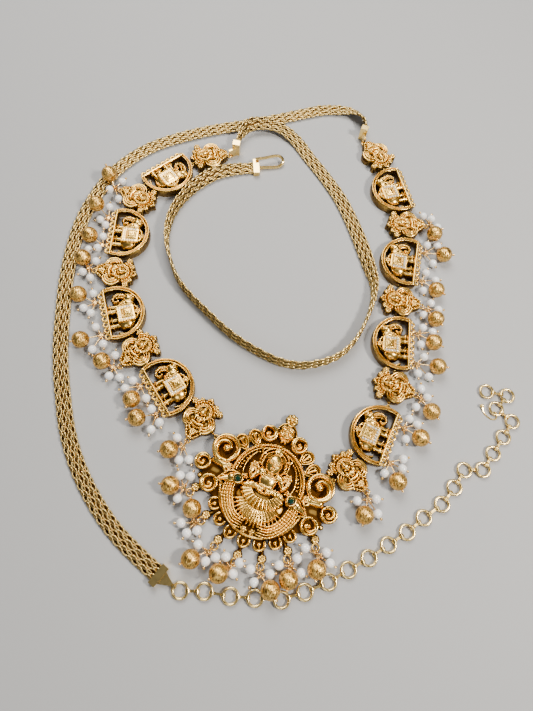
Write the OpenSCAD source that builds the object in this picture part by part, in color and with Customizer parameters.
// Open waist belt of cast gold links, woven bands and bead drops, lying flat.
// Millimetres, +Z up, floor at Z = 0, +Y towards the top of the laid-out belt.

/* [Elephant links] */
// Length of the flat side of a half-moon link
chord_l = 21.6; // [20:0.2:22]
// Depth of a half-moon link from its flat side to its apex
link_depth = 15.2; // [14.4:0.2:15.4]
// Height of the rim wall
link_h = 3.6; // [3.2:0.1:4.2]
// Thickness of the rim wall
rim_w = 1.6; // [1.4:0.1:1.8]

/* [Plaques] */
// Half of the width across the crescents
plaque_half_w = 6.5; // [6.2:0.1:6.6]
// Height of the plaque's body
plaque_h = 3.2; // [3:0.1:3.6]

/* [Pendant] */
// Radius of the pendant's disc
disc_r = 16; // [15.5:0.1:16.2]
// Thickness of the pendant's plate
plate_t = 1.6; // [1.4:0.1:1.8]

/* [Drops] */
// Diameter of a gold bead
gold_d = 6.6; // [6.2:0.1:6.6]
// Diameter of a pearl
pearl_d = 3.3; // [3:0.1:3.4]
// Diameter of the wire in the drops
pin_d = 0.4; // [0.36:0.02:0.44]
// Clearance of a drilled hole round its wire
drill_gap = 0.12; // [0.1:0.01:0.15]

/* [Bands] */
// Width of a woven band
band_w = 6; // [5.6:0.1:6.2]
// Thickness of a woven band
band_t = 1.8; // [1.6:0.1:1.9]

/* [Ring chain] */
// Outer diameter of a chain ring
ring_od = 6; // [5.9:0.1:6.1]
// Diameter of a chain ring's wire
ring_wire = 0.9; // [0.8:0.05:0.95]

/* [Hidden] */
SIDES = ["left", "right"];
PARTS = ["left", "pendant", "right"];
$fn = 32;

gold = "goldenrod";
pale_gold = "khaki";

// The layout tables are measured from a point this far from the belt's middle.
mid_x = 3.1;
mid_y = 1.7;

// Radius of a link's round rim, and its centre's distance from the flat side.
link_r = (pow(chord_l / 2, 2) + pow(link_depth, 2)) / (2 * link_depth);
link_c = link_depth - link_r;

// The eyes that join two castings: height, wire and ring radius.
eye_z = 1.3;
eye_wire = 0.25;
eye_r = 0.75;
eye_out = 0.55;

// Elephant links: middle of the flat side x, y, heading of the elephant.
links_left = [
    [-41.6, -50.6, 139],
    [-71, -26.8, 122],
    [-83.1, 9.3, 103],
    [-76, 47.9, 55]
];
links_right = [
    [47.3, -41.5, 82],
    [47.2, -1.6, 100],
    [42.7, 35.5, 95],
    [30.3, 72, 121]
];

// Plaques: centre x, y, direction of the crown.
plaques_left = [
    [-22.3, -54.9, 77],
    [-53.8, -36.6, 60],
    [-75, -7.7, 10],
    [-80, 29, -12],
    [-57.9, 60.2, 208]
];
plaques_right = [
    [35.8, -57.6, 150],
    [45, -20.6, 178],
    [40, 16.3, 187],
    [34.8, 53.5, 199],
    [14.2, 86.4, -39]
];

// The pendant's disc centre and its turn.
pendant_at = [7.6, -73.6];
pendant_turn = -6;
big_scroll = [18.4, 9.4];
big_scroll_r = 5.2;

// Band stations: x, y, height of the lowest edge, tilt from flat in degrees.
long_stations = [
    [5.5, 95.4, 0.1, 90],
    [5.9, 99, 0.1, 90],
    [4.8, 103, 0.1, 72],
    [1, 107, 0.1, 40],
    [-5, 108.6, 0.1, 12],
    [-15, 105.9, 0.1, 0],
    [-23.6, 100.6, 0.1, 0],
    [-32, 94.8, 0.1, 0],
    [-40.6, 89.2, 0.1, 0],
    [-49.6, 83.6, 0.1, 0],
    [-60, 77.4, 0.1, 0],
    [-69.6, 70.8, 0.1, 0],
    [-79.3, 63, 0.1, 0],
    [-87, 54.8, 0.1, 0],
    [-93, 44.6, 0.1, 0],
    [-96.6, 34, 0.1, 0],
    [-98.3, 22, 0.1, 0],
    [-98.5, 11.6, 0.1, 0],
    [-97.3, 1.5, 0.1, 0],
    [-95.2, -8.7, 0.1, 0],
    [-92.4, -18.9, 0.1, 0],
    [-88.9, -29, 0.1, 0],
    [-84.5, -41, 0.1, 0],
    [-79.8, -51.4, 0.1, 0],
    [-74.4, -61.5, 0.1, 0],
    [-68, -72.3, 0.1, 0],
    [-60.8, -81.6, 0.1, 0],
    [-53.2, -89.2, 0.1, 0],
    [-44.8, -96, 0.1, 0],
    [-36, -101.6, 0.1, 0],
    [-26, -106.3, 0.1, 0],
    [-17.6, -109.8, 0.1, 0]
];
hook_stations = [
    [-47.6, 67.2, 0.1, 90],
    [-48.2, 72, 0.1, 90],
    [-47.2, 78, 1.4, 65],
    [-44.2, 83, 2, 35],
    [-38, 86.2, 2, 8],
    [-31, 86.4, 1.6, 0],
    [-23, 82.8, 0.5, 0],
    [-15.6, 76.4, 0.1, 0],
    [-6.4, 68.6, 0.1, 0],
    [2.7, 59.8, 0.1, 4],
    [10, 50.6, 0.1, 10],
    [17.3, 39.6, 0.1, 20],
    [23.6, 28.4, 0.1, 45],
    [27.7, 20, 0.1, 70],
    [28.8, 11, 0.1, 84],
    [28, 2, 0.1, 93],
    [26, -6, 0.1, 96],
    [22.4, -13.2, 0.1, 98],
    [17, -18.6, 0.1, 99],
    [9.6, -22.8, 0.1, 100],
    [2.6, -24.4, 0.1, 101],
    [-5, -24, 0.1, 101],
    [-15.5, -21.6, 0.1, 100],
    [-24.5, -18.2, 0.1, 99],
    [-33.6, -13.4, 0.1, 98],
    [-42.7, -8.3, 0.1, 96],
    [-50, -2.8, 0.1, 93],
    [-55.8, 4.3, 0.1, 88],
    [-60.3, 12, 0.1, 82],
    [-62.6, 20.2, 0.1, 76],
    [-62.8, 28.4, 0.1, 70],
    [-61.2, 35.8, 0.1, 66],
    [-58.2, 43.6, 0.1, 52],
    [-52.8, 52, 0.1, 30],
    [-46.6, 57.2, 0.1, 12],
    [-40.6, 60.6, 0.1, 1],
    [-35.8, 62.4, 0.1, 0]
];

// Chain rings: centre x, y.
ring_spots = [
    [-9.8, -112],
    [-1.9, -109.9],
    [6.9, -108.9],
    [15, -107.1],
    [23.7, -105.1],
    [30.7, -100.6],
    [37.7, -95.3],
    [43.4, -89.6],
    [49.4, -83.9],
    [55.1, -77.7],
    [60.7, -71.6],
    [65.6, -65],
    [71.2, -58.4],
    [74.6, -51.2],
    [77.2, -43.8],
    [84, -41.6],
    [86.9, -34.4],
    [89.8, -27],
    [92.4, -19.8],
    [85.6, -16.6],
    [89.2, -10],
    [81, -10.8]
];

// Drops, in order away from each side's far end. Each row: the gold bead, then its three pearls.
drops_left = [
    [[-94.6, 34.6, 5.4], [-89.6, 35, 1.8], [-92, 28, 4], [-87.6, 26.2, 1.8]],
    [[-93.8, 18.8, 5.4], [-89.6, 21, 1.8], [-91, 14, 1.8], [-87.8, 12.2, 1.8]],
    [[-91.4, 4.8, 3.4], [-86.6, 6.6, 1.8], [-89.8, -1, 1.8], [-85.8, 0, 3.6]],
    [[-89.8, -6, 3.4], [-84.8, -5.2, 1.8], [-88, -11.4, 1.8], [-84, -13, 1.8]],
    [[-84.8, -21.8, 3.4], [-80, -19.2, 1.8], [-81.2, -26.2, 1.8], [-77.6, -27.4, 1.8]],
    [[-76.2, -39.4, 3.4], [-73.4, -32.4, 1.8], [-71, -41.4, 1.8], [-68, -38, 1.8]],
    [[-65.2, -45, 3.4], [-61.8, -41, 1.8], [-60.8, -49.4, 1.8], [-56.8, -48.8, 1.8]],
    [[-49, -55.6, 3.4], [-51.6, -48.4, 1.8], [-53.2, -52.2, 1.8], [-44.4, -53.4, 1.8]],
    [[-44.6, -61.6, 3.4], [-36.4, -60.6, 1.8], [-40.6, -57, 3.6], [-38.4, -64, 1.8]],
    [[-29.4, -69, 3.4], [-28.2, -64, 1.8], [-24.9, -71.4, 1.8], [-21.4, -70.2, 1.8]]
];
drops_pendant = [
    [[-24.6, -80.8, 3.4], [-22.6, -76.4, 1.8], [-18.9, -75.7, 1.8], [-20.8, -84.2, 1.8]],
    [[-14.6, -86, 3.4], [-16.8, -91.6, 1.8], [-13.8, -94.2, 1.8], [-10.6, -92.4, 1.8]],
    [[-9.6, -101.6, 3.4], [-8.8, -96.6, 1.8], [-4.6, -101, 1.8], [-1.8, -98.8, 1.8]],
    [[0.8, -103.2, 3.4], [1.6, -97.6, 1.8], [6.6, -98, 4.2], [5.6, -102, 1.8]],
    [[19, -103.2, 4], [10.8, -99, 1.8], [13.2, -102.6, 1.8], [17.6, -98.6, 1.8]],
    [[24, -98.4, 3.4], [19.8, -95, 1.8], [27.8, -95.2, 1.8], [25.2, -91.2, 1.8]],
    [[32.4, -92.6, 3.4], [27, -87.1, 1.8], [34.4, -86.4, 1.8], [36.6, -89.4, 1.8]]
];
drops_right = [
    [[44.2, -70.6, 3.4], [40.8, -66.4, 1.8], [47.4, -63.8, 1.8], [49, -68.6, 1.8]],
    [[53.4, -55.6, 3.4], [48.4, -54, 1.8], [54, -46.8, 1.8], [54.4, -50.4, 1.8]],
    [[58.4, -37.4, 3.4], [53.2, -31.2, 1.8], [53.4, -39.2, 1.8], [56.6, -32.4, 1.8]],
    [[60.6, -26.2, 3.4], [54.8, -25.8, 1.8], [58.4, -20.8, 1.8], [55.4, -18, 1.8]],
    [[59.8, -7.4, 3.4], [54, -4.6, 1.8], [53, -12.2, 1.8], [57.4, -12.2, 1.8]],
    [[56.4, 2.2, 3.4], [51.2, 7.8, 1.8], [55.4, 7.2, 1.8], [51.8, 0.4, 1.8]],
    [[55.4, 12.6, 3.4], [52.4, 19.8, 1.8], [56, 17.8, 1.8], [50.4, 13.6, 1.8]],
    [[53.2, 25.8, 3.4], [47.8, 33.2, 1.8], [52.4, 31, 1.8], [48.2, 24.6, 1.8]],
    [[53.4, 43.6, 3.4], [45.8, 46.8, 1.8], [50.2, 48, 1.8], [49.8, 38.8, 1.8]],
    [[47.6, 52.6, 3.4], [41.4, 61, 1.8], [45.2, 60.8, 1.8], [48.6, 57.4, 1.8]]
];

function unit(v) = v / norm(v);
function flat(v) = [v[0], v[1]];
function heading(v) = atan2(v[1], v[0]);
function along(a) = [cos(a), sin(a)];
function turned(p, a) = [p[0] * cos(a) - p[1] * sin(a), p[0] * sin(a) + p[1] * cos(a)];

// A Catmull-Rom curve through the rows of a table, n steps to a row.
function knot(p, i) = p[min(max(i, 0), len(p) - 1)];
function blend(a, b, c, d, t) = 0.5 * (2 * b + (c - a) * t + (2 * a - 5 * b + 4 * c - d) * t * t
    + (3 * b - a - 3 * c + d) * t * t * t);
function smooth(p, n) = concat(
    [for (i = [0:len(p) - 2]) for (k = [0:n - 1])
        blend(knot(p, i - 1), p[i], p[i + 1], knot(p, i + 2), k / n)],
    [p[len(p) - 1]]
);
function heading_at(p, i) = heading(flat(knot(p, i + 1)) - flat(knot(p, i - 1)));

// Centre of a link's round rim; turn is 1 where the apex lies left of the heading, else -1.
function rim_centre(row, turn) = flat(row) + link_c * along(row[2] + 90 * turn);

module ball(p, r) translate(p) sphere(r);

module rod(p, q, r) {
    d = q - p;
    translate(p) rotate([0, acos(d[2] / norm(d)), heading(d)]) cylinder(h = norm(d), r = r);
}

module arc_wire(big_r, r, from, to) {
    rotate([0, 0, from]) rotate_extrude(angle = to - from) translate([big_r, 0]) circle(r);
}

module ring_wire_form(big_r, r) rotate_extrude() translate([big_r, 0]) circle(r);

module layout() translate([mid_x, mid_y, 0]) children();

// A small rosette: n round petals in one raised disc with a ball in the middle.
module daisy(p, r, n = 6) translate(p) {
    linear_extrude(r) {
        circle(r * 1.4);
        for (i = [0:n - 1]) rotate(i * 360 / n + 15) translate([r * 1.5, 0]) circle(r * 0.8);
    }
    translate([0, 0, r]) sphere(r * 0.9);
}

// A ball cut off just above the floor.
module dome(p, r) intersection() {
    ball(p, r);
    translate([p[0] - r - 1, p[1] - r - 1, 0.3]) cube(2 * r + 2 + p[2]);
}

// The flat eye on a casting's wall, and the upright eye of its neighbour that passes through it.
module flat_eye(c) translate(concat(c, [eye_z])) ring_wire_form(eye_r, eye_wire);

eye_stem_end = 3.1;
module upright_eye(wall, toward) {
    u = unit(toward - wall);
    c = wall + (eye_out + eye_r) * u;
    translate(concat(c, [eye_z])) rotate([90, 0, heading(u)]) ring_wire_form(eye_r, eye_wire);
    rod(concat(c + eye_r * u, [eye_z]), concat(toward - eye_stem_end * u, [eye_z]), 0.45);
}

// A half-moon link, drawn with its flat side on X, its apex towards +Y and the elephant facing +X.
module link_rim() {
    ridge = 0.38;
    inset_by = ridge + 0.06;
    end = asin(link_c / link_r) - 2.5;
    linear_extrude(link_h) difference() {
        intersection() {
            translate([0, link_c]) circle(link_r);
            translate([-link_r, 0]) square([2 * link_r, link_depth + 1]);
        }
        intersection() {
            translate([0, link_c]) circle(link_r - rim_w);
            translate([-link_r, 0.9]) square([2 * link_r, link_depth]);
        }
    }
    for (inset = [inset_by, rim_w - inset_by]) translate([0, link_c, link_h])
        arc_wire(link_r - inset, ridge, -end, 180 + end);
    translate([-chord_l / 2, 0.1, link_h - 0.3]) cube([chord_l, 0.7, 0.8]);
}

// Eight little bails along the flat side; the drops hang in two of them.
scallop_pitch = 2.54;
scallop_hole = 0.68;
scallop_r = 1.22;
scallop_y = -0.95;
scallop_z = 1.2;
module link_scallops() {
    for (i = [-3.5:3.5]) translate([i * scallop_pitch, scallop_y, scallop_z]) difference() {
        union() {
            cylinder(h = 1, r = scallop_r);
            translate([-scallop_r, 0, 0]) cube([2 * scallop_r, 1.3, 1]);
        }
        translate([0, 0, -1]) cylinder(h = 3, r = scallop_hole);
    }
}

module elephant_relief() {
    leg_z = 1.9;
    for (leg = [[-5.2, 1.4], [-2.9, 1.3], [1, 1.35], [2.9, 1.2]])
        rod([leg[0], 0.4, leg_z], [leg[0] * 0.9, 6.4, leg_z + 0.3], leg[1]);
    intersection() {
        union() {
            ball([-4.6, 7.4, 0.9], 3.7);
            ball([-1.3, 7.9, 0.6], 4.6);
            ball([1.6, 8.1, 1.1], 3.7);
        }
        translate([-12, 0, 0.4]) cube([24, 14, 6]);
    }
    ball([4.6, 9.6, 2.7], 2.5);
    ball([5.9, 8.3, 2.4], 1.7);
    translate([4.9, 5.9, 2.5]) {
        arc_wire(2.6, 1, -75, 62);
        translate([0.35, -1.35, 0]) arc_wire(1.25, 0.7, -235, -72);
    }
    rod([5.3, 7.2, 2.6], [7.3, 4.2, 3.6], 0.35);
    rod([6.4, 1.2, 1.8], [6.2, 3.6, 2.4], 0.6);
    translate([2.7, 9.2, 3.4]) cylinder(h = 1.3, r1 = 2.2, r2 = 1.7);
    rod([-1.3, 11.4, 2.2], [-1.3, 14.2, 2.2], 1);
    translate([-8, 5.2, 2.2]) arc_wire(1.5, 0.45, 40, 200);
    rod([-9.4, 4.8, 2.2], [-10.6, 4.4, 2], 0.5);
}

module saddle_cloth() {
    for (step = [[6.4, 4.6], [3.4, 5.7], [1.8, 6.2]])
        translate([-1.5 - step[0] / 2, 7.6 - step[0] / 2, 2.4]) cube([step[0], step[0], step[1] - 2.4]);
    daisy([-1.4, 12, 4], 0.5);
}

module elephant_link(row, turn, neighbours) {
    c = rim_centre(row, turn);
    color(gold) layout() {
        translate([row[0], row[1], 0]) rotate([0, 0, row[2]]) mirror([0, turn > 0 ? 0 : 1, 0]) {
            link_rim();
            link_scallops();
            elephant_relief();
            saddle_cloth();
        }
        for (p = neighbours) flat_eye(c + (link_r + eye_out) * unit(flat(p) - c));
    }
}

// A plaque, drawn with its crown towards +Y and its hanging loop at -Y.
loop_y = -9.1;
loop_r = 0.95;
loop_wire = 0.3;
function plaque_loop(row) = flat(row) + loop_y * along(row[2]);

module plaque_body() {
    linear_extrude(plaque_h) polygon([
        [-1.3, -8], [1.3, -8], [2.7, -5.4], [4.4, -3.6], [4.7, 1], [4.4, 5], [2.6, 7.4],
        [-2.6, 7.4], [-4.4, 5], [-4.7, 1], [-4.4, -3.6], [-2.7, -5.4]
    ]);
    for (s = [-1, 1]) {
        translate([s * (plaque_half_w - 3.9), -1.1, plaque_h - 0.8]) {
            cylinder(h = 1.3, r = 3.7);
            for (r = [3.4, 2.4, 1.4])
                rotate([0, 0, s > 0 ? 0 : 180]) translate([0, 0, 1.3]) arc_wire(r, 0.42, -85, 85);
        }
        translate([s * 4.9, 4.6, plaque_h - 0.8]) cylinder(h = 1.1, r = 1.5);
        daisy([s * 4.9, 4.6, plaque_h + 0.1], 0.55);
    }
    translate([0, loop_y, eye_z]) ring_wire_form(loop_r, loop_wire);
    rod([0, -7.4, eye_z], [0, loop_y + loop_r, eye_z], 0.45);
}

module plaque_relief() {
    top = plaque_h + 0.5;
    translate([0, 2.6, plaque_h - 0.2]) cylinder(h = 1.1, r = 3.3);
    translate([0, 2.6, plaque_h + 0.9]) arc_wire(2.9, 0.5, -5, 185);
    for (a = [30:30:150]) ball(concat([0, 3.2] + 4.4 * along(a), [plaque_h]), 0.6);
    ball([0, 2.1, top + 1.1], 1.2);
    translate([0, 2.9, top + 1]) rotate([-90, 0, 0]) cylinder(h = 2, r1 = 1, r2 = 0.35);
    ball([0, -0.3, top + 0.7], 1.5);
    for (s = [-1, 1]) {
        ball([s * 1.5, -2, top + 0.4], 1.2);
        ball([s * 2.3, 0.4, top + 0.9], 0.65);
    }
    translate([0, -2.9, plaque_h - 0.2]) linear_extrude(0.9)
        for (x = [-2, -1, 0, 1, 2]) translate([x, -0.4 + abs(x) * 0.4]) circle(0.8);
    daisy([0, -5.6, plaque_h - 0.1], 0.8, 7);
}

function hosts(rows, turn) = concat(
    [[flat(pendant_at) + turned([turn * big_scroll[0], big_scroll[1]], pendant_turn), big_scroll_r]],
    [for (row = rows) [rim_centre(row, turn), link_r]]
);

module plaque(row, row_hosts) {
    c = flat(row);
    color(gold) layout() {
        translate(concat(c, [0])) rotate([0, 0, row[2] - 90]) {
            plaque_body();
            plaque_relief();
        }
        for (h = row_hosts) upright_eye(h[0] + h[1] * unit(c - h[0]), c);
    }
}

// The pendant, drawn upright with its disc's centre at the origin.
arch_r = 13.4;
arch_y = 4.1;
cup_ring_r = 17.4;
cup_r = 2.3;
cup_step = 18.5;
bird_eye = [10.2, 0.9];
eye_seat_z = 5.6;
stone_r = 1.15;
rosettes = [
    [-22.9, -7.4],
    [-15.5, -14.6],
    [-8.2, -20.4],
    [0, -22.4],
    [8.2, -20.4],
    [15.5, -14.6],
    [22.9, -7.4]
];
ring_drop = 2.5;
ring_drop_x = 0.05;

scrolls = [
    [18.4, 9.4, 5.2, 1.1, 3.8, 150],
    [24.4, 2, 3.1, 0.9, 3, 80],
    [19.3, -4.2, 3.3, 0.9, 2.8, 10]
];

// A scroll's standing rim and the curl inside it; row: x, y, radius, wall, height, spin.
module scroll(row) translate([row[0], row[1], 0]) {
    difference() {
        cylinder(h = row[4], r = row[2]);
        translate([0, 0, -1]) cylinder(h = row[4] + 2, r = row[2] - row[3]);
    }
    rotate([0, 0, row[5]]) {
        translate([row[2] * 0.2, 0, row[4] - 0.8]) arc_wire(row[2] * 0.42, row[3] / 2, -200, 60);
        cylinder(h = row[4] - 0.5, r = row[2] * 0.3);
    }
}

module pendant_plate() linear_extrude(plate_t) {
    circle(disc_r);
    translate([0, arch_y]) circle(arch_r + 0.4);
    polygon([
        [-9.5, 14], [-7.5, 22.6], [-4.8, 24.4], [-3, 28], [3, 28], [4.8, 24.4], [7.5, 22.6], [9.5, 14]
    ]);
    for (s = [-1, 1]) polygon([
        [s * 8, 12], [s * 8, -10], [s * 16, -8], [s * 22, -6], [s * 24, 1], [s * 20, 6], [s * 14, 10]
    ]);
    for (i = [-3:3]) translate(cup_ring_r * along(-90 + i * cup_step)) circle(cup_r + 0.2);
    for (s = [-1, 1]) for (row = scrolls) translate([s * row[0], row[1]]) circle(row[2] - 0.3);
    for (p = rosettes) translate(p) circle(1.75);
    for (p = rosettes) rotate(heading(p)) translate([norm(p) - 6.5, -0.7]) square([6.5, 1.4]);
}

module pendant_walls() {
    translate([0, 0, plate_t]) arc_wire(disc_r - 0.6, 0.5, 190, 350);
    translate([0, arch_y, 0]) difference() {
        cylinder(h = 3, r = arch_r + 0.3);
        translate([0, 0, -1]) cylinder(h = 5, r = arch_r - 0.7);
        translate([-20, -20, -1]) cube([40, 17, 5]);
    }
    translate([0, arch_y, 3]) arc_wire(arch_r - 0.2, 0.42, -10, 190);
}

module pendant_rim() {
    for (i = [-3:3]) translate(concat(cup_ring_r * along(-90 + i * cup_step), [plate_t])) {
        ring_wire_form(cup_r - 0.3, 0.4);
        sphere(0.7);
    }
    for (p = rosettes) {
        daisy([p[0], p[1], plate_t - 0.4], 0.66, 7);
        translate(concat(pendant_ring(p), [eye_z])) ring_wire_form(1.25, 0.35);
    }
    for (s = [-1, 1]) mirror([s > 0 ? 0 : 1, 0, 0]) {
        for (row = scrolls) scroll(row);
        ball([23.4, -3, 1.3], 0.85);
        for (leaf = [[14.2, 14.6, 2.1], [10.2, 18, 1.9], [6.9, 21.2, 1.7]])
            dome([leaf[0], leaf[1], leaf[2] - 0.2], leaf[2]);
    }
}

module crest_mask() {
    dome([0, 22.6, 2.2], 3.1);
    for (s = [-1, 1]) {
        dome([s * 2.7, 24.4, 2.2], 1.6);
        dome([s * 2.8, 20.8, 2], 1.5);
        ball([s * 1.3, 23.4, 5], 0.7);
    }
    ball([0, 22, 5.2], 0.9);
    daisy([0, 28.4, 1.1], 1, 7);
}

module seated_figure() {
    translate([0, 10.6, 2]) arc_wire(5.4, 0.7, -30, 210);
    dome([0, 10.6, 3.8], 3.6);
    dome([0, 14.2, 3.2], 2.7);
    dome([0, 4.6, 3.4], 3.2);
    dome([0, 0.4, 3.2], 2.9);
    for (s = [-1, 1]) {
        dome([s * 4, 5.4, 3], 2);
        rod([s * 4, 4.6, 3.3], [s * 6.4, 3.2, 3.9], 1.1);
        ball([s * 6.6, 5, 4.2], 1.9);
        dome([s * 3.8, -2, 2.9], 2.5);
    }
}

// Two tiers of petals below the figure, each one raised fan.
module lotus_seat() {
    linear_extrude(3.9) {
        translate([0, 0.8]) for (a = [-162:12:-18]) rotate(a) translate([7.4, 0]) circle(1);
        translate([0, 0.8]) intersection() {
            circle(7.4);
            translate([-10, -10]) square([20, 9]);
        }
    }
    linear_extrude(3) translate([0, -1]) for (a = [-140:20:-40]) rotate(a) translate([9.6, 0]) circle(2);
    for (a = [-114:16:-66]) ball(concat([0, -1] + 13.2 * along(a), [plate_t]), 1);
}

module bird() {
    dome([11, 0.4, 2.9], 2.8);
    rod([12.2, -0.4, 2.7], [16.2, -1.8, 2.4], 1.3);
    translate([15.4, 2.4, 2.7]) arc_wire(1.5, 0.5, -60, 210);
    rod([11.8, -1, 2.8], [10.2, -6.6, 2.7], 2.1);
    dome([10, -7.2, 2.6], 2.6);
    translate([bird_eye[0], bird_eye[1], 3]) cylinder(h = eye_seat_z - 3, r = 1.55);
}

module pendant() color(gold) layout() {
    translate(concat(pendant_at, [0])) rotate([0, 0, pendant_turn]) difference() {
        union() {
            pendant_plate();
            pendant_walls();
            pendant_rim();
            crest_mask();
            seated_figure();
            lotus_seat();
            for (s = [0, 1]) mirror([s, 0, 0]) bird();
        }
        for (s = [-1, 1]) translate([s * bird_eye[0], bird_eye[1], eye_seat_z - 0.7])
            cylinder(h = 3, r = stone_r + 0.1);
    }
    for (s = [-1, 1]) {
        c = flat(pendant_at) + turned([s * big_scroll[0], big_scroll[1]], pendant_turn);
        p = flat(s > 0 ? plaques_right[0] : plaques_left[0]);
        flat_eye(c + (big_scroll_r + eye_out) * unit(p - c));
    }
}

// A cut green stone: pointed back, girdle, eight crown facets and a table.
module eye_stone(s) color("darkgreen") layout()
    translate(concat(pendant_at, [0])) rotate([0, 0, pendant_turn])
    translate([s * bird_eye[0], bird_eye[1], eye_seat_z - 0.6]) {
        cylinder(h = 0.5, r1 = 0.5, r2 = stone_r, $fn = 8);
        translate([0, 0, 0.5]) cylinder(h = 0.2, r = stone_r, $fn = 8);
        translate([0, 0, 0.7]) cylinder(h = 0.5, r1 = stone_r, r2 = 0.65, $fn = 8);
    }

// Where the drops hang: the loop of a plaque, two bails of each link and the pendant's rings.
hung_bail = 2.5;
function bail(row, turn, side) = concat(
    flat(row) + side * hung_bail * scallop_pitch * along(row[2]) + scallop_y * along(row[2] + 90 * turn),
    [scallop_z + 0.5]
);
function loop_spot(row) = concat(plaque_loop(row), [eye_z]);
function pendant_ring(p) = [p[0] + p[0] * ring_drop_x, p[1] - ring_drop];
hung_left = concat(
    [for (i = [3:-1:1]) each [
        loop_spot(plaques_left[i]), bail(links_left[i - 1], -1, 1), bail(links_left[i - 1], -1, -1)
    ]],
    [loop_spot(plaques_left[0])]
);
hung_pendant = [for (p = rosettes)
    concat(pendant_at + turned(pendant_ring(p), pendant_turn), [eye_z])];
hung_right = concat(
    [loop_spot(plaques_right[0])],
    [for (i = [0:2]) each [
        bail(links_right[i], 1, -1), bail(links_right[i], 1, 1), loop_spot(plaques_right[i + 1])
    ]]
);

// A drop's headpins meet at a knot, which a small loop ties to the place where the drop hangs.
knot_out = 2.6;
knot_r = 0.62;
knot_h = 1;
knot_z = 1.5;
drop_loop_r = 1;
pin_end = 0.55;
pin_end_r = 0.48;
function middle(drop) = flat(drop[0] + drop[1] + drop[2] + drop[3]) / 4;
function knot_at(hung, drop) = concat(flat(hung) + knot_out * unit(middle(drop) - flat(hung)), [knot_z]);

// A frame whose Z runs from a drop's knot towards a bead.
module facing(p, k) {
    d = p - k;
    translate(p) rotate([0, acos(d[2] / norm(d)), heading(d)]) children();
}

module drilled(p, r, k) facing(p, k) difference() {
    sphere(r);
    cylinder(h = 3 * r, r = pin_d / 2 + drill_gap, center = true);
}

module drop_wire(hung, drop) {
    k = knot_at(hung, drop);
    out = unit(flat(k) - flat(hung));
    translate(k - [0, 0, knot_h / 2]) rotate(heading(out) + 135) cylinder(h = knot_h, r = knot_r);
    translate(hung + concat(drop_loop_r * out, [0]))
        rotate([90, 0, heading(out)]) ring_wire_form(drop_loop_r, pin_d / 2);
    rod(hung + concat((2 * drop_loop_r - 0.1) * out, [0]), k, pin_d * 0.75);
    for (i = [0:3]) {
        reach = (i == 0 ? gold_d : pearl_d) / 2 + pin_end;
        run = norm(drop[i] - k) - knot_r * 0.85;
        facing(drop[i], k) {
            translate([0, 0, -run]) cylinder(h = run + reach, r = pin_d / 2);
            translate([0, 0, reach]) sphere(pin_end_r);
        }
    }
}

// A strip of quads through rings of n points each, closed at both ends.
module sweep(points, n, rings) polyhedron(points, concat(
    [[for (k = [0:n - 1]) k]],
    [for (i = [0:rings - 2]) for (k = [0:n - 1])
        [i * n + k, (i + 1) * n + k, (i + 1) * n + (k + 1) % n, i * n + (k + 1) % n]],
    [[for (k = [0:n - 1]) (rings - 1) * n + n - 1 - k]]
));

// A woven band as one swept strip with rounded edges.
module band(stations) {
    rows = smooth(stations, 2);
    edge = band_w / 2;
    face = band_t / 2;
    profile = [
        [edge, -face * 0.4], [edge, face * 0.4], [edge * 0.86, face], [-edge * 0.86, face],
        [-edge, face * 0.4], [-edge, -face * 0.4], [-edge * 0.86, -face], [edge * 0.86, -face]
    ];
    points = [for (i = [0:len(rows) - 1]) let (
        q = rows[i],
        h = heading_at(rows, i) + 90,
        mid_z = q[2] + edge * abs(sin(q[3])) + face * abs(cos(q[3]))
    ) for (c = profile) let (
        across = c[0] * cos(q[3]) - c[1] * sin(q[3]),
        up = c[0] * sin(q[3]) + c[1] * cos(q[3])
    ) concat(flat(q) + across * along(h), [mid_z + up])];
    sweep(points, len(profile), len(rows));
}

module band_long() color(pale_gold) layout() band(long_stations);

module band_hook() color(pale_gold) layout() band(hook_stations);

// A round wire along a smooth curve through the spots of a table.
module bent_wire(spots, r, steps = 4, sides = 8) {
    path = smooth(spots, steps);
    points = [for (i = [0:len(path) - 1]) let (
        t = unit(knot(path, i + 1) - knot(path, i - 1)),
        u = unit(cross(t, [0, 0, 1])),
        v = cross(t, u)
    ) for (k = [0:sides - 1]) path[i] + r * cos(k * 360 / sides) * u + r * sin(k * 360 / sides) * v];
    sweep(points, sides, len(path));
}

// Crimped clips on the ends of the bands; a is the heading out of the band's end.
clip_gap = 0.2;
clip_wall = 0.5;
clip_l = 2.6;
clip_grip = 2;
module clip(end, a, w, h) {
    in_w = w + 2 * clip_gap;
    in_h = h + clip_gap;
    translate(concat(end - clip_grip * along(a), [0.1])) rotate([0, 0, a]) difference() {
        translate([0, -in_w / 2 - clip_wall, 0]) cube([clip_l, in_w + 2 * clip_wall, in_h + clip_wall]);
        translate([-1, -in_w / 2, -1]) cube([1 + clip_grip + clip_gap, in_w, in_h + 1]);
    }
}

// A clip with an upright plate whose hole holds the plaque's loop.
plate_w = 0.7;
plate_high = 4.4;
plate_end = 1.15;
module upright_tag(stations, row) {
    end = flat(stations[0]);
    a = heading(end - flat(stations[1]));
    base = end + 0.45 * along(a);
    hold = plaque_loop(row) + loop_r * unit(base - plaque_loop(row));
    clip(end, a, band_t, band_w);
    difference() {
        translate(concat(base, [0.15])) rotate([0, 0, heading(hold - base)])
            translate([0, -plate_w / 2, 0]) cube([norm(hold - base) + plate_end, plate_w, plate_high]);
        translate(concat(hold, [eye_z])) rotate([90, 0, heading(hold - base)])
            cylinder(h = 4, r = 0.72, center = true);
    }
}

ring_r = (ring_od - ring_wire) / 2;
ring_z = 1;
sleeve_r = 0.93;
sleeve_bore = 0.6;
sleeve_w = 1;
module sleeve(c, a, r, w) translate(concat(c, [ring_z])) rotate([90, 0, a])
    cylinder(h = w, r = r, center = true);

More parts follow.
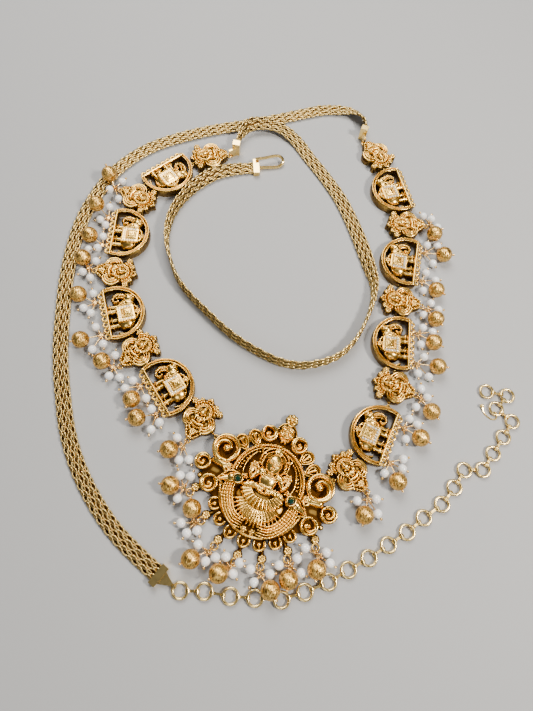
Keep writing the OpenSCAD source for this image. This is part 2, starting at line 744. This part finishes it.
module ring_tongue() {
    end = flat(long_stations[len(long_stations) - 1]);
    a = heading(ring_spots[0] - end);
    hold = ring_spots[0] - ring_r * along(a);
    reach = norm(hold - end);
    clip(end, heading(end - flat(long_stations[len(long_stations) - 2])), band_w, band_t);
    difference() {
        union() {
            sleeve(hold, a, sleeve_r, sleeve_w);
            translate(concat(end, [0.6])) rotate([0, 0, a]) linear_extrude(0.9) polygon([
                [0.5, -2.4], [reach - 0.8, -0.5], [reach - 0.5, -0.5],
                [reach - 0.5, 0.5], [reach - 0.8, 0.5], [0.5, 2.4]
            ]);
        }
        sleeve(hold, a, sleeve_bore, 4);
    }
}

module band_tags() color(pale_gold) layout() {
    upright_tag(long_stations, plaques_right[4]);
    upright_tag(hook_stations, plaques_left[4]);
    ring_tongue();
}

hook_spots = [
    [-35.6, 62.5, 1.2],
    [-32.6, 63.8, 1],
    [-29.4, 65.2, 0.8],
    [-27, 66.5, 0.8],
    [-25.8, 68.2, 1.4],
    [-26.3, 70, 2.2],
    [-28.3, 70.5, 2.8],
    [-30.8, 69.1, 3.2],
    [-33.8, 66.9, 3.4],
    [-37.6, 64.8, 3.4]
];
hook_wire = 0.65;
module hook() color(pale_gold) layout() {
    end = flat(hook_stations[len(hook_stations) - 1]);
    clip(end, heading(end - flat(hook_stations[len(hook_stations) - 2])), band_w, band_t);
    bent_wire(hook_spots, hook_wire, 3);
}

module chain_rings() color(pale_gold) layout()
    for (c = ring_spots) translate(concat(c, [ring_z])) ring_wire_form(ring_r, ring_wire / 2);

// Double loops: a sleeve round each of two neighbouring rings and a bar between them.
module chain_links() color(pale_gold) layout()
    for (i = [0:len(ring_spots) - 2]) {
        a = heading(ring_spots[i + 1] - ring_spots[i]);
        from = ring_spots[i] + ring_r * along(a);
        to = ring_spots[i + 1] - ring_r * along(a);
        difference() {
            union() {
                sleeve(from, a, sleeve_r, sleeve_w);
                sleeve(to, a, sleeve_r, sleeve_w);
                translate(concat(from, [ring_z - 0.4])) rotate([0, 0, a])
                    translate([0.75, -0.4, 0]) cube([max(norm(to - from) - 1.5, 0.1), 0.8, 0.8]);
            }
            sleeve(from, a, sleeve_bore, 4);
            sleeve(to, a, sleeve_bore, 4);
        }
    }

pin_spots = [
    [80.2, -17.5, 0.8],
    [81.6, -19.6, 0.3],
    [84.2, -21, 0.27],
    [86.2, -20.6, 0.27],
    [86.5, -18.8, 0.27],
    [85.6, -17.8, 0.27],
    [84.6, -18.4, 0.27]
];
module end_pin() color(pale_gold) layout() {
    bent_wire(pin_spots, 0.25, 3, 6);
    ball([80, -17.2, 1], 0.75);
}

drop_sets = [
    [hung_left, drops_left],
    [hung_pendant, drops_pendant],
    [hung_right, drops_right]
];

module gold_beads(set) color(gold) layout() for (i = [0:len(set[1]) - 1])
    drilled(set[1][i][0], gold_d / 2, knot_at(set[0][i], set[1][i]));

module pearls(set) color("linen") layout() for (i = [0:len(set[1]) - 1]) for (k = [1:3])
    drilled(set[1][i][k], pearl_d / 2, knot_at(set[0][i], set[1][i]));

module drop_wires(set) color(gold) layout() for (i = [0:len(set[1]) - 1])
    drop_wire(set[0][i], set[1][i]);

pendant();
eye_stone(-1);  // eye_stone_left
eye_stone(1);  // eye_stone_right
for (side = [0, 1]) {
    plaques = side == 0 ? plaques_left : plaques_right;
    links = side == 0 ? links_left : links_right;
    turn = side == 0 ? -1 : 1;
    all_hosts = hosts(links, turn);
    for (i = [0:4])
        plaque(plaques[i], [for (k = [i:min(i + 1, 4)]) all_hosts[k]]);
    for (i = [0:3])
        elephant_link(links[i], turn, [plaques[i], plaques[i + 1]]);
}
band_long();
band_hook();
band_tags();
hook();
chain_rings();
chain_links();
end_pin();
for (i = [0:2]) {
    gold_beads(drop_sets[i]);
    pearls(drop_sets[i]);
    drop_wires(drop_sets[i]);
}
